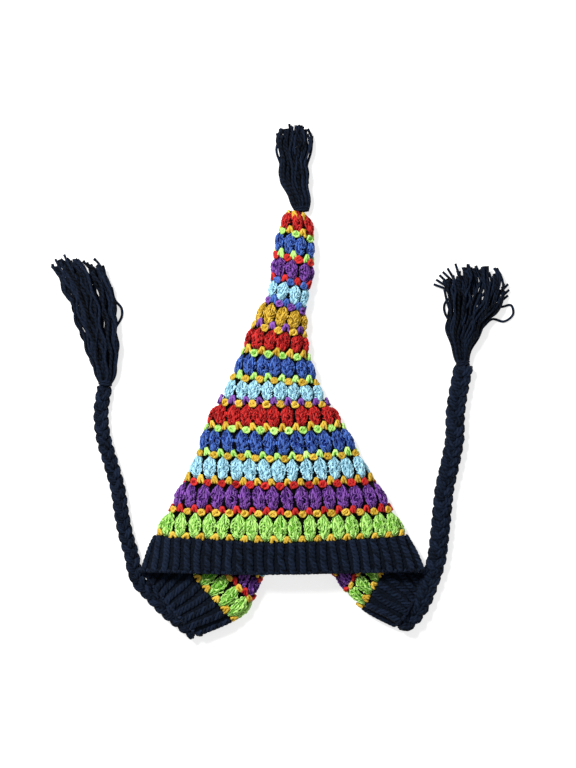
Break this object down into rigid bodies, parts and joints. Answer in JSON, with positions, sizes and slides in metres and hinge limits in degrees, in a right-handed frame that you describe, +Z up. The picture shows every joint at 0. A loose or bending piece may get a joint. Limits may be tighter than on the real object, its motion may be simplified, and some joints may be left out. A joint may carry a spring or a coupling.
{
  "type": "pointed crochet hat with plaited ties and tassels",
  "caption": "Tall pointed hat of crocheted puff-stitch rounds in many colours, with a ribbed navy band, ear corners, plaited ties and tassels, lying flat.",
  "frame": {"origin": "on the underside of the folded-under nape band, where the hat lies on its surface", "axes": "+Z up out of the front layer, +Y from the hem towards the point of the hat, +X to the hat's right-hand tie as seen from above"},
  "size_m": [0.3968, 0.4568, 0.0403],
  "materials": {
    "navy_yarn": "matt wool yarn",
    "lime_yarn": "matt wool yarn",
    "purple_yarn": "matt wool yarn",
    "light_blue_yarn": "matt wool yarn",
    "royal_blue_yarn": "matt wool yarn",
    "red_yarn": "matt wool yarn",
    "gold_yarn": "matt wool yarn"
  },
  "bodies": {
    "root": {"rib_band": "navy_yarn", "tie_left": "navy_yarn", "tie_right": "navy_yarn", "tassel_left": "navy_yarn", "tassel_right": "navy_yarn", "tassel_tip": "navy_yarn", "crown_round_01": "lime_yarn", "crown_round_02": "purple_yarn", "crown_round_03": "light_blue_yarn", "crown_round_04": "royal_blue_yarn", "crown_round_05": "red_yarn", "crown_round_06": "light_blue_yarn", "crown_round_07": "royal_blue_yarn", "crown_round_08": "red_yarn", "crown_round_09": "gold_yarn", "crown_round_10": "light_blue_yarn", "crown_round_11": "purple_yarn", "crown_round_12": "royal_blue_yarn", "crown_round_13": "red_yarn"}
  },
  "joints": []
}
